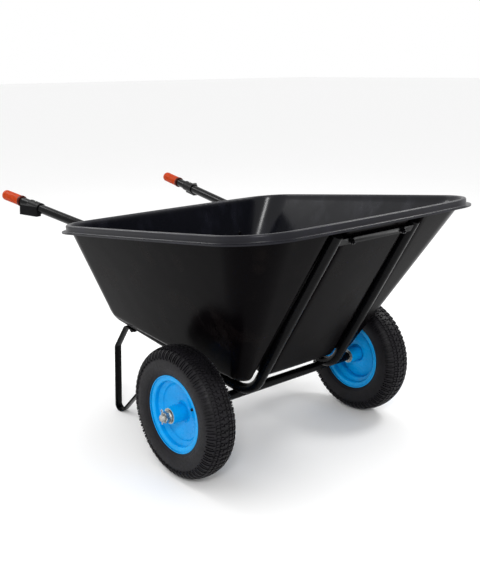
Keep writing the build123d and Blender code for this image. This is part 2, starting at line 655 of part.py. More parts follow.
def build():
    """Every node of the barrow, as a list of (name, shape) pairs."""
    nodes = {}
    tub = make_tub()
    sides = {"right": -1, "left": 1}
    bolts = {"floor": ([], [], []), "rear": ([], [], []), "strut": ([], [], []), "front": ([], [], [])}
    tubes, legs, holes, seats = {}, {}, [], []

    def add_fixing(group, plane, stack, make_bolt=carriage_bolt):
        for piece, found in zip(fixing_set(plane, stack, make_bolt), bolts[group]):
            found.append(piece)
        holes.append(bolt_hole(plane, stack + 2 * BOLT_DIAMETER))

    for name, side in sides.items():
        tubes[name] = tube_along(tube_path(side), TUBE_RADIUS, TUBE_RADIUS - TUBE_METAL)
        legs[name], (rear_place, strut_place) = make_leg(side)
        _, run = tube_run(side, 2, 3)
        up = upward_normal(run)
        below = TUBE_RADIUS + LEG_METAL
        floor_in, _ = crossing(tub, rear_place + up * 2 * TUBE_RADIUS, up * -1, 2 * TUBE_DIAMETER)
        floor_plane = Plane(origin=floor_in - up * FLUSH_HEAD_DEPTH, z_dir=up)
        add_fixing("floor", floor_plane, (floor_plane.origin - rear_place).dot(up) + below, flush_bolt)
        seats.append(flush_seat(floor_plane))
        strut_plane = Plane(origin=strut_place + up * TUBE_RADIUS, z_dir=up)
        add_fixing("strut", strut_plane, TUBE_RADIUS + below)
        back_start, back_run = tube_run(side, 1, 2)
        back_place = back_start + back_run * (REAR_BOLT_DROP / -back_run.Z)
        back_out = (back_run * back_run.X - Vector(1, 0, 0)).normalized()
        rear_in, _ = crossing(tub, back_place - back_out * 2 * TUBE_RADIUS, back_out, 4 * TUBE_DIAMETER)
        rear_plane = Plane(origin=rear_in, z_dir=back_out * -1)
        add_fixing("rear", rear_plane, (back_place - rear_in).dot(back_out) + TUBE_RADIUS)
        seats.append(domed_seat(rear_plane))
        holes.append(screw_hole(side))

    strap, strap_plane = make_strap()
    for side in sides.values():
        outward = strap_plane.z_dir
        place = strap_plane.origin + Vector(0, side * STRAP_BOLT_Y, 0)
        inner, _ = crossing(tub, place, outward, 4 * TUBE_DIAMETER)
        plane = Plane(origin=inner, z_dir=outward * -1)
        add_fixing("front", plane, (place - inner).dot(outward) + STRAP_METAL)
        seats.append(domed_seat(plane))

    beam = make_beam()
    for tube in tubes.values():
        beam -= tube

    def drilled(shape):
        for hole in holes:
            shape -= hole
        return shape

    tub = drilled(tub)
    for seat in seats:
        tub -= seat
    nodes["tub"] = tub
    nodes["front_strap"] = drilled(strap)
    nodes["axle_beam"] = beam
    for name, side in sides.items():
        nodes["side_tube_" + name] = drilled(tubes[name])
        nodes["leg_" + name] = drilled(legs[name])
        nodes["grip_" + name] = make_grip(side)
        nodes["hand_guard_" + name] = drilled(make_guard(side))
        nodes["stub_axle_" + name] = make_stub_axle(side)
        nodes["axle_nut_" + name] = make_axle_nut(side)
        nodes["split_pin_" + name] = make_split_pin(side)
        nodes["tyre_" + name] = make_tyre(side)
        nodes["inner_tube_" + name] = make_inner_tube(side)
        nodes["rim_" + name] = make_rim(side)
        nodes["hub_" + name] = make_hub(side)
        nodes["bearings_" + name] = Compound(children=make_bearings(side))
        nodes["valve_stem_" + name] = make_valve(side)
        nodes["valve_cap_" + name] = make_valve_cap(side)
    nodes["tube_plugs"] = Compound(children=[make_tube_plug(side) for side in sides.values()])
    nodes["guard_screws"] = Compound(children=[make_guard_screw(side) for side in sides.values()])
    nodes["axle_washers"] = Compound(
        children=[washer for side in sides.values() for washer in make_axle_washers(side)])
    for group, (shanks, washers, nuts) in bolts.items():
        nodes[group + "_bolts"] = Compound(children=shanks)
        nodes[group + "_washers"] = Compound(children=washers)
        nodes[group + "_nuts"] = Compound(children=nuts)
    return nodes


def main():
    os.makedirs("parts", exist_ok=True)
    nodes = build()
    box = Compound(children=[copy.copy(shape) for shape in nodes.values()]).bounding_box()
    to_origin = Pos(-(box.min.X + box.max.X) / 2, 0, 0)
    print("moved along X by", round(-(box.min.X + box.max.X) / 2, 3))
    for name, shape in nodes.items():
        export_step(to_origin * shape, "parts/" + name + ".step")


if __name__ == "__main__":
    main()
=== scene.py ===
import json
import math

import bmesh
import bpy
from bpy.props import FloatProperty, FloatVectorProperty, IntProperty, PointerProperty, StringProperty
from mathutils import Matrix, Vector


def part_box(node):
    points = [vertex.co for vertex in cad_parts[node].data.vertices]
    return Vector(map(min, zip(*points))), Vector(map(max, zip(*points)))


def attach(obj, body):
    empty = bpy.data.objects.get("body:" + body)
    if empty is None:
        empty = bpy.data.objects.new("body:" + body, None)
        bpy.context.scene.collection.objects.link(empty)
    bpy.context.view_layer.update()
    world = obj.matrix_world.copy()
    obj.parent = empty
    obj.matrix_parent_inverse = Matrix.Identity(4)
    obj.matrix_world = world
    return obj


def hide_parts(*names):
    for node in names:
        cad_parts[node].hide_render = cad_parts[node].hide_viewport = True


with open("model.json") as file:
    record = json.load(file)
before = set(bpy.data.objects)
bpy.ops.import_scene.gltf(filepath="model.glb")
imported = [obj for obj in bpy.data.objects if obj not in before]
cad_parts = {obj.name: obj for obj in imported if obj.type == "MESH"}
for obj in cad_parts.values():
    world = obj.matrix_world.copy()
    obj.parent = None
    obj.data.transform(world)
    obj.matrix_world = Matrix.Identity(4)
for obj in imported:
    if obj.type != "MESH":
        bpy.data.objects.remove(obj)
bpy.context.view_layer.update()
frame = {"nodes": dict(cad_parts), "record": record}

bl_info = {
    "name": "Two-wheeled wheelbarrow",
    "version": (1, 0, 0),
    "blender": (4, 5, 0),
    "location": "3D View > Sidebar > Barrow",
    "description": "Builds the finish of a two-wheeled wheelbarrow on its packed frame",
    "category": "Object",
}

MM = 0.001
SIDES = {"right": -1, "left": 1}
TYRE_LOW, TYRE_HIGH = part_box("tyre_left")
AXLE_X = (TYRE_LOW.x + TYRE_HIGH.x) / 2
AXLE_Z = (TYRE_LOW.z + TYRE_HIGH.z) / 2
HALF_TRACK = (TYRE_LOW.y + TYRE_HIGH.y) / 2
WHEEL_RADIUS = (TYRE_HIGH.z - TYRE_LOW.z) / 2

# Corner points of a side tube, in millimetres from the axle line, the middle plane and the ground.
TUBE_CORNERS = ((-1092, 370, 718), (-562, 309.5, 649), (-541, 264, 360), (68.6, 173, 216), (390, 160, 748))
TUBE_BENDS = (55, 60, 88)


# ---------------------------------------------------------------- settings

class BarrowTubSettings(bpy.types.PropertyGroup):
    wall: FloatProperty(name="Wall", description="Thickness of the moulded wall",
                        default=0.004, unit="LENGTH")
    bead: FloatProperty(name="Bead", description="Width of the flat bead round the rim",
                        default=0.012, unit="LENGTH")
    skirt: FloatProperty(name="Skirt", description="Depth of the turned-down skirt",
                         default=0.024, unit="LENGTH")
    lip: FloatProperty(name="Lip", description="Width of the lip at the foot of the skirt",
                       default=0.014, unit="LENGTH")
    channel_depth: FloatProperty(name="Channel depth",
                                 description="Depth of the two tube channels in the nose",
                                 default=0.019, unit="LENGTH")
    # Colour of the tub's inside, lightened as painted reflected light; the darker outside copy is painted
    # shade.
    colour: StringProperty(name="Colour", description="Colour of the tub as an sRGB hex value",
                           default="#0A0B11")


class BarrowFrameSettings(bpy.types.PropertyGroup):
    tube_radius: FloatProperty(name="Tube radius", description="Outer radius of the side tubes",
                               default=0.016, unit="LENGTH")
    tube_colour: StringProperty(name="Tube colour", description="Powder coat colour as an sRGB hex value",
                                default="#040405")
    grip_colour: StringProperty(name="Grip colour", description="Grip colour as an sRGB hex value",
                                default="#B43A02")
    collar_colour: StringProperty(name="Collar colour", description="Grip collar colour as an sRGB hex value",
                                  default="#4A150A")
    grip_ribs: IntProperty(name="Grip ribs", description="Number of raised rings round each grip",
                           default=17, min=1)


class BarrowWheelSettings(bpy.types.PropertyGroup):
    rim_colour: StringProperty(name="Rim colour", description="Rim enamel colour as an sRGB hex value",
                               default="#0298DC")
    tyre_colour: StringProperty(name="Tyre colour", description="Rubber colour as an sRGB hex value",
                                default="#0B0A0D")
    tread_pitches: IntProperty(name="Tread pitches", description="Times that the tread repeats round a tyre",
                               default=64, min=3)
    tread_depth: FloatProperty(name="Tread depth", description="Height of the tread blocks",
                               default=0.0040, unit="LENGTH")


class BarrowStageSettings(bpy.types.PropertyGroup):
    floor_colour: StringProperty(name="Floor colour", description="Floor colour as an sRGB hex value",
                                 default="#F6F6F6")
    room_light: FloatProperty(name="Room light", description="Strength of the soft light from all round",
                              default=1.0, min=0.0)
    lens: FloatProperty(name="Lens", description="Focal length of the camera",
                        default=50.838, unit="CAMERA")
    camera_place: FloatVectorProperty(name="Camera", description="Place of the camera",
                                      default=(2.14096, -1.71230, 1.17562), subtype="XYZ_LENGTH")


# ---------------------------------------------------------------- materials

def linear(code):
    """An sRGB hex value as a linear RGBA colour."""
    parts = [int(code[i:i + 2], 16) / 255 for i in (1, 3, 5)]
    return tuple(c / 12.92 if c <= 0.04045 else ((c + 0.055) / 1.055) ** 2.4 for c in parts) + (1.0,)


def add_node(tree, kind, inputs=None, **settings):
    """Adds a node with its settings; an input takes a value or the output that feeds it."""
    made = tree.nodes.new(kind)
    for name, value in settings.items():
        setattr(made, name, value)
    for key, value in (inputs or {}).items():
        if isinstance(value, bpy.types.NodeSocket):
            tree.links.new(value, made.inputs[key])
        else:
            made.inputs[key].default_value = value
    return made


def start_material(name, **values):
    """A material with a Principled surface; returns it with its tree, shader and object coordinates."""
    material = bpy.data.materials.new(name)
    material.use_nodes = True
    tree = material.node_tree
    tree.nodes.clear()
    shader = add_node(tree, "ShaderNodeBsdfPrincipled", {k.replace("_", " "): v for k, v in values.items()})
    add_node(tree, "ShaderNodeOutputMaterial", {"Surface": shader.outputs[0]})
    place = add_node(tree, "ShaderNodeTexCoord").outputs["Object"]
    return material, tree, shader, place


def vary(tree, place, size_mm, low, high, detail=3.0, stretch=(1, 1, 1), bounds=(0.35, 0.65)):
    """Noise of a real grain size, in millimetres, spread between two values."""
    mapped = add_node(tree, "ShaderNodeMapping", {"Vector": place, "Scale": stretch})
    noise = add_node(tree, "ShaderNodeTexNoise",
                     {"Vector": mapped.outputs[0], "Scale": 1.0 / (size_mm * MM), "Detail": detail})
    return add_node(tree, "ShaderNodeMapRange",
                    {"Value": noise.outputs[0], "From Min": bounds[0], "From Max": bounds[1],
                     "To Min": low, "To Max": high}).outputs[0]


def bump(tree, shader, height, distance_mm, strength=1.0, after=None):
    made = add_node(tree, "ShaderNodeBump",
                    {"Height": height, "Distance": distance_mm * MM, "Strength": strength})
    if after is not None:
        tree.links.new(after, made.inputs["Normal"])
    tree.links.new(made.outputs[0], shader.inputs["Normal"])
    return made.outputs[0]


def blend_colours(tree, factor, first, second):
    mix = add_node(tree, "ShaderNodeMix", {0: factor, 6: linear(first), 7: linear(second)}, data_type="RGBA")
    return mix.outputs[2]


def moulded_polypropylene(name, colour, rubbed, shine, gloss):
    """Injection-moulded polypropylene: a deep gloss with faint flow waves and dull rub marks."""
    material, tree, shader, place = start_material(name, IOR=1.49, Roughness=gloss, Specular_IOR_Level=shine)
    rubs = vary(tree, place, 60, 0.0, 1.0, 6.0, (1, 1, 0.5), (0.52, 0.76))
    fine = vary(tree, place, 3, -0.02, 0.03, 2.0)
    level = add_node(tree, "ShaderNodeMapRange",
                     {"Value": rubs, "To Min": gloss, "To Max": gloss + 0.1}).outputs[0]
    total = add_node(tree, "ShaderNodeMath", {0: level, 1: fine}, operation="ADD").outputs[0]
    tree.links.new(total, shader.inputs["Roughness"])
    tree.links.new(blend_colours(tree, rubs, colour, rubbed), shader.inputs["Base Color"])
    waves = bump(tree, shader, vary(tree, place, 110, 0.0, 1.0, 1.0, bounds=(0.2, 0.8)), 1.2, 0.4)
    bump(tree, shader, vary(tree, place, 1.6, 0.0, 1.0, 1.0), 0.02, 0.4, waves)
    return material


def powder_coat(name, colour, gloss):
    """Powder coat on steel tube: an even gloss with the slight orange peel of the baked powder."""
    material, tree, shader, place = start_material(name, IOR=1.5, Roughness=gloss, Specular_IOR_Level=0.08)
    tree.links.new(vary(tree, place, 25, gloss - 0.05, gloss + 0.07), shader.inputs["Roughness"])
    dust = vary(tree, place, 14, 0.0, 0.35, 5.0, bounds=(0.5, 0.8))
    tree.links.new(blend_colours(tree, dust, colour, "#0E0E10"), shader.inputs["Base Color"])
    bump(tree, shader, vary(tree, place, 2.0, 0.0, 1.0, 1.0), 0.05, 0.5)
    return material


def stoved_enamel(name, colour):
    """Stoved enamel on pressed steel: bright, wet-looking blue in random patches of a darker blue."""
    material, tree, shader, place = start_material(
        name, IOR=1.5, Roughness=0.3, Specular_IOR_Level=0.14,
        Coat_Weight=0.08, Coat_Roughness=0.08)
    tone = vary(tree, place, 40, 0.0, 0.5, 3.0)
    tree.links.new(blend_colours(tree, tone, colour, "#0486C8"), shader.inputs["Base Color"])
    tree.links.new(vary(tree, place, 12, 0.24, 0.36), shader.inputs["Roughness"])
    bump(tree, shader, vary(tree, place, 1.8, 0.0, 1.0, 1.0), 0.05, 0.5)
    return material


def vulcanised_rubber(name, colour, dull):
    """Vulcanised tyre rubber: dull black with the faint bloom and fine grain of the mould."""
    material, tree, shader, place = start_material(name, IOR=1.52, Roughness=dull, Specular_IOR_Level=0.17)
    bloom = vary(tree, place, 30, 0.0, 0.5, 5.0)
    tree.links.new(blend_colours(tree, bloom, colour, "#18161B"), shader.inputs["Base Color"])
    tree.links.new(vary(tree, place, 6, dull - 0.08, dull + 0.08), shader.inputs["Roughness"])
    bump(tree, shader, vary(tree, place, 1.0, 0.0, 1.0, 2.0), 0.08, 0.5)
    return material


def soft_grip_rubber(name, colour, dark):
    """Moulded soft PVC grip: saturated colour, soft sheen and a fine leathery mould grain."""
    material, tree, shader, place = start_material(name, IOR=1.5, Roughness=0.42, Specular_IOR_Level=0.1)
    tone = vary(tree, place, 10, 0.0, 0.45, 4.0)
    tree.links.new(blend_colours(tree, tone, colour, dark), shader.inputs["Base Color"])
    tree.links.new(vary(tree, place, 3, 0.36, 0.5), shader.inputs["Roughness"])
    bump(tree, shader, vary(tree, place, 0.9, 0.0, 1.0, 2.0), 0.06, 0.6)
    return material


def moulded_nylon(name, colour):
    """Moulded black nylon: spark-eroded mould texture that breaks the shine into a satin."""
    material, tree, shader, place = start_material(name, IOR=1.53, Roughness=0.4, Specular_IOR_Level=0.08)
    tree.links.new(blend_colours(tree, vary(tree, place, 15, 0.0, 0.5), colour, "#0F0F11"),
                   shader.inputs["Base Color"])
    tree.links.new(vary(tree, place, 4, 0.34, 0.48), shader.inputs["Roughness"])
    bump(tree, shader, vary(tree, place, 0.8, 0.0, 1.0, 2.0), 0.06, 0.6)
    return material


def zinc_plate(name, colour, gloss):
    """Bright zinc plating on turned steel: silvery, slightly mottled, with fine turning rings."""
    material, tree, shader, place = start_material(name, Metallic=1.0, Roughness=gloss)
    mottle = vary(tree, place, 8, 0.0, 1.0, 4.0)
    tree.links.new(blend_colours(tree, mottle, colour, "#8E908E"), shader.inputs["Base Color"])
    tree.links.new(vary(tree, place, 3, gloss - 0.08, gloss + 0.1), shader.inputs["Roughness"])
    bump(tree, shader, vary(tree, place, 0.9, 0.0, 1.0, 1.0, (0.2, 1, 0.2)), 0.03, 0.5)
    return material


def material_of(slot):
    """The finish of a material slot, made the first time that it is asked for."""
    scene = bpy.context.scene
    wheel, tubes, tub = scene.barrow_wheel, scene.barrow_frame, scene.barrow_tub
    finishes = {
        # The tub is one black polypropylene in three colours: the inside lightened as painted reflected
        # light, the outside darkened as painted shade, the rim band lightened as a painted highlight.
        "tub_plastic": (moulded_polypropylene, "polypropylene_inside_painted_light", tub.colour, "#15161F", 0.25, 0.2),
        "tub_outside_painted_shade": (moulded_polypropylene, "polypropylene_outside_painted_shade", "#030203", "#0B0808", 0.02, 0.22),
        # The rim band is a lighter copy of the same plastic, a painted highlight along the bead and skirt.
        "tub_rim_painted_highlight": (moulded_polypropylene, "polypropylene_rim_painted_highlight", "#0F0F16", "#1D1D27", 0.24, 0.33),
        "black_enamel": (powder_coat, "powder_coat_black", tubes.tube_colour, 0.24),
        "orange_grip": (soft_grip_rubber, "soft_grip_orange", tubes.grip_colour, "#862800"),
        "grip_collar": (soft_grip_rubber, "soft_grip_collar", tubes.collar_colour, "#2A0B06"),
        "black_plastic": (moulded_nylon, "moulded_nylon_black", "#060607"),
        "tyre_rubber": (vulcanised_rubber, "tyre_rubber_casing", wheel.tyre_colour, 0.5),
        "inner_tube_rubber": (vulcanised_rubber, "butyl_rubber", "#0A0A0A", 0.45),
        "blue_enamel": (stoved_enamel, "stoved_enamel_blue", wheel.rim_colour),
        "zinc_plated": (zinc_plate, "zinc_plated_steel", "#C9CAC6", 0.3),
        "zinc_plated_hub": (zinc_plate, "zinc_plated_tube", "#B9BBB8", 0.34),
    }
    make, name, *values = finishes[slot]
    return bpy.data.materials.get(name) or make(name, *values)


# ---------------------------------------------------------------- mesh helpers

def finish_piece(mesh, name, body, slot, replaced=(), sharp=32, painted=False):
    """Puts a mesh in the scene as one piece of a body, smooth but for its sharp edges."""
    mesh.name = name
    if not painted:
        mesh.materials.clear()
        mesh.materials.append(material_of(slot))
    mesh.shade_smooth()
    mesh.set_sharp_from_angle(angle=math.radians(sharp))
    piece = bpy.data.objects.new(name, mesh)
    bpy.context.scene.collection.objects.link(piece)
    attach(piece, body)
    if replaced:
        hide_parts(*replaced)
    return piece


def mesh_from(vertices, faces, outward=True):
    """A mesh with its doubles merged and, for a closed shape, its faces turned outwards."""
    made = bmesh.new()
    points = [made.verts.new(v) for v in vertices]
    for face in faces:
        made.faces.new([points[i] for i in face])
    bmesh.ops.remove_doubles(made, verts=made.verts, dist=1e-6)
    if outward:
        bmesh.ops.recalc_face_normals(made, faces=made.faces)
    mesh = bpy.data.meshes.new("mesh")
    made.to_mesh(mesh)
    made.free()
    return mesh


def grid_faces(rows, columns, close_rows=False, close_columns=True):
    faces = []
    for i in range(rows if close_rows else rows - 1):
        for j in range(columns if close_columns else columns - 1):
            following, beside = (i + 1) % rows, (j + 1) % columns
            faces.append((i * columns + j, i * columns + beside,
                          following * columns + beside, following * columns + j))
    return faces


def baked(mesh, *modifiers):
    """The mesh after these modifiers, given as (type, settings)."""
    holder = bpy.data.objects.new("holder", mesh)
    bpy.context.scene.collection.objects.link(holder)
    for kind, settings in modifiers:
        modifier = holder.modifiers.new(kind, kind)
        for key, value in settings.items():
            setattr(modifier, key, value)
    graph = bpy.context.evaluated_depsgraph_get()
    result = bpy.data.meshes.new_from_object(holder.evaluated_get(graph))
    bpy.data.objects.remove(holder)
    return result


def refined(node, bevel_mm=0.0, slot=None):
    """A smooth copy of a CAD node: its triangles merged, flats joined and edges eased."""
    source = frame["nodes"][node]
    made = bmesh.new()
    made.from_mesh(source.data)
    bmesh.ops.remove_doubles(made, verts=made.verts, dist=2e-6)
    bmesh.ops.dissolve_limit(made, angle_limit=math.radians(0.6), verts=made.verts, edges=made.edges)
    mesh = bpy.data.meshes.new(node)
    made.to_mesh(mesh)
    made.free()
    if bevel_mm > 0:
        mesh = baked(mesh, ("BEVEL", {"width": bevel_mm * MM, "segments": 2, "limit_method": "ANGLE",
                                      "angle_limit": math.radians(38), "use_clamp_overlap": True,
                                      "loop_slide": False}))
    return finish_piece(mesh, node + "_finish", body_of(node), slot or slot_of(node), (node,))


def body_of(node):
    return next(b for b, members in frame["record"]["behaviour"]["bodies"].items() if node in members)


def slot_of(node):
    return next(p["material_slot"] for p in frame["record"]["subparts"] if p["node"] == node)


def lathe(profile, segments, closed=True):
    """Vertices and faces of a ring turned about the Y axis from (radius, y) points."""
    vertices = []
    for radius, y in profile:
        for k in range(segments):
            angle = 2 * math.pi * k / segments
            vertices.append((radius * math.cos(angle), y, radius * math.sin(angle)))
    return vertices, grid_faces(len(profile), segments, close_rows=closed)


def smooth_profile(points, steps=4):
    """Catmull-Rom curve through (a, b) points."""
    curve = []
    for i in range(len(points) - 1):
        p0, p1 = points[max(i - 1, 0)], points[i]
        p2, p3 = points[i + 1], points[min(i + 2, len(points) - 1)]
        for k in range(steps):
            t = k / steps
            curve.append(tuple(
                0.5 * (2 * b + (c - a) * t + (2 * a - 5 * b + 4 * c - d) * t * t
                       + (3 * b - a - 3 * c + d) * t ** 3)
                for a, b, c, d in zip(p0, p1, p2, p3)))
    curve.append(points[-1])
    return curve


def wheel_place(side):
    return Matrix.Translation((AXLE_X, side * HALF_TRACK, AXLE_Z))


def place_wheel_mesh(mesh, side):
    """Moves a mesh made round the Y axis, outboard along +Y, to its wheel."""
    if side < 0:
        mesh.transform(Matrix.Rotation(math.pi, 4, "Z"))
    mesh.transform(wheel_place(side))
    return mesh


def tube_corners(side):
    return [Vector((AXLE_X + x * MM, side * y * MM, z * MM)) for x, y, z in TUBE_CORNERS]


def bent_path(corners, radii, step=math.radians(3)):
    """Points along straight runs joined by arcs of these radii."""
    path = [corners[0]]
    for before, corner, after, radius in zip(corners, corners[1:], corners[2:], radii):
        first = (corner - before).normalized()
        second = (after - corner).normalized()
        turn = first.angle(second)
        reach = radius * math.tan(turn / 2)
        start = corner - first * reach
        inward = (second - first * second.dot(first)).normalized()
        centre = start + inward * radius
        count = max(2, int(turn / step))
        for k in range(count + 1):
            angle = turn * k / count
            path.append(centre - inward * radius * math.cos(angle) + first * radius * math.sin(angle))
    path.append(corners[-1])
    return path


def swept_tube(path, outer, inner, sides=36):
    """A round tube with a wall, swept along a path."""
    tangent = (path[1] - path[0]).normalized()
    across = tangent.orthogonal().normalized()
    rings = []
    for i, point in enumerate(path):
        ahead = (path[min(i + 1, len(path) - 1)] - path[max(i - 1, 0)]).normalized()
        across = (across - ahead * across.dot(ahead)).normalized()
        up = ahead.cross(across)
        rings.append((point, across.copy(), up))
    vertices = []
    for radius, order in ((outer, rings), (inner, rings[::-1])):
        for point, side, up in order:
            for k in range(sides):
                angle = 2 * math.pi * k / sides
                vertices.append(point + (side * math.cos(angle) + up * math.sin(angle)) * radius)
    return mesh_from(vertices, grid_faces(2 * len(path), sides, close_rows=True))


# ---------------------------------------------------------------- the tub

class RoundedTrapezium:
    """Outline of the tub at one level: four bowed sides and four rounded corners."""

    def __init__(self, back, front, half_back, half_front, round_back, round_front, bow_side, bow_end):
        self.corners = [Vector((back, half_back)), Vector((front, half_front)),
                        Vector((front, -half_front)), Vector((back, -half_back))]
        self.radii = [round_back, round_front, round_front, round_back]
        self.bows = [bow_side, bow_end, bow_side, bow_end]

    def corner(self, index, t):
        """Point on a rounded corner, t from 0 to 1 in the order of the outline."""
        before, at, after = (self.corners[(index + k) % 4] for k in (-1, 0, 1))
        first, second = (at - before).normalized(), (after - at).normalized()
        turn = first.angle(second)
        radius = self.radii[index]
        inward = (second - first * second.dot(first)).normalized()
        centre = at - first * radius * math.tan(turn / 2) + inward * radius
        angle = turn * t
        return centre - inward * radius * math.cos(angle) + first * radius * math.sin(angle)

    def side(self, index, t):
        """Point on the side after a corner, bowed outwards."""
        start, end = self.corner(index, 1.0), self.corner((index + 1) % 4, 0.0)
        along = (end - start).normalized()
        outward = Vector((-along.y, along.x))
        return start + (end - start) * t + outward * self.bows[index] * 4 * t * (1 - t)

    def point(self, place):
        kind, index, t = place
        return self.corner(index, t) if kind == "corner" else self.side(index, t)

    def front_place(self, y):
        """Where the outline's front end, its corners included, is at this y."""
        left, right = self.corner(1, 1.0).y, self.corner(2, 0.0).y
        if right <= y <= left:
            return ("side", 1, (left - y) / (left - right))
        index = 1 if y > left else 2
        low, high = 0.0, 1.0
        for _ in range(40):
            middle = (low + high) / 2
            if self.corner(index, middle).y > y:
                low = middle
            else:
                high = middle
        return ("corner", index, low)


# Tub outlines in millimetres: back, front, half-width at the back and front, corner radii there.
RIM_SIZES = (-553, 419, 475, 470, 120, 150)
FLOOR_SIZES = (0, 621, 318, 243, 60, 46)
RIM_BOWS = (4, 8)
FLOOR_BOWS = (4, 4)
RIM_HEIGHT, RIM_SLOPE = 740, 0.104
FLOOR_BACK, FLOOR_HEIGHT, FLOOR_SLOPE = -515, 370, -100 / 607

# The two tube channels: distance from the middle plane at the floor and at the rim, the same for
# the outer edge of each, how high they reach, and their section as steps across and rise.
CHANNEL_LOW_Y, CHANNEL_HIGH_Y = 171.3, 159.2
CHANNEL_EDGE_LOW_Y, CHANNEL_EDGE_HIGH_Y = 211.3, 199.2
CHANNEL_TOP = 757.0
NOSE_END_LOW_Y = 214.0
CHANNEL_STEPS = (0, 13, 22, 26, 29, 31, 32.3, 33.2, 34.6, 36.8, 40)
CHANNEL_RISE = (1, 1, 1, 0.98, 0.9, 0.71, 0.47, 0.26, 0.1, 0.03, 0)


def rim_outline(offset):
    back, front, half_back, half_front, round_back, round_front = RIM_SIZES
    middle = (back + front) / 2
    return RoundedTrapezium(back - middle - offset, front - middle + offset, half_back + offset,
                            half_front + offset, round_back + offset, round_front + offset, *RIM_BOWS)


def floor_outline(inset):
    back, front, half_back, half_front, round_back, round_front = FLOOR_SIZES
    return RoundedTrapezium(back + inset, front - inset, half_back - inset, half_front - inset,
                            round_back - inset, round_front - inset, *FLOOR_BOWS)


def on_rim_plane(point, level):
    slope = math.atan(RIM_SLOPE)
    x = (RIM_SIZES[0] + RIM_SIZES[1]) / 2 + point.x * math.cos(slope) - level * math.sin(slope)
    return Vector((x, point.y, RIM_HEIGHT + point.x * math.sin(slope) + level * math.cos(slope)))


def on_floor_plane(point, level):
    slope = math.atan(FLOOR_SLOPE)
    x = FLOOR_BACK + point.x * math.cos(slope) - level * math.sin(slope)
    return Vector((x, point.y, FLOOR_HEIGHT + point.x * math.sin(slope) + level * math.cos(slope)))


def tub_columns(inside, wall):
    """Columns round the tub: (place on the floor outline, place on the rim outline, channel rise)."""
    columns = []
    low_outline, high_outline = floor_outline(wall), rim_outline(inside)
    low_end, high_end = NOSE_END_LOW_Y, high_outline.corner(1, 1.0).y
    cut = low_outline.front_place(low_end)[2]

    def even(kind, index, count, start=0.0, end=1.0):
        for k in range(count):
            t = k / count
            columns.append(((kind, index, start + (end - start) * t), (kind, index, t), 0.0))

    even("side", 3, 34)
    even("corner", 0, 18)
    even("side", 0, 40)
    even("corner", 1, 20, 0.0, cut)
    front = {low_end: (high_end, 0.0), -low_end: (-high_end, 0.0)}
    for sign in (-1, 1):
        for k in (1, 2, 3, 4, 5):
            high = CHANNEL_EDGE_HIGH_Y + k * (high_end - CHANNEL_EDGE_HIGH_Y) / 6
            front[sign * (CHANNEL_EDGE_LOW_Y + k * 0.45)] = (sign * high, 0.0)
        for step, rise in zip(CHANNEL_STEPS, CHANNEL_RISE):
            for turn in (-1, 1):
                across = turn * step
                front[sign * CHANNEL_LOW_Y + across] = (sign * CHANNEL_HIGH_Y + across, rise)
    for k in range(-5, 6):
        front[k * 24.0] = (k * 21.0, 0.0)
    order = sorted(front, reverse=True)
    for y in order[:-1]:
        columns.append((low_outline.front_place(y), high_outline.front_place(front[y][0]), front[y][1]))
    even("corner", 2, 20, 1 - cut, 1.0)
    even("side", 2, 40)
    even("corner", 3, 18)
    return columns


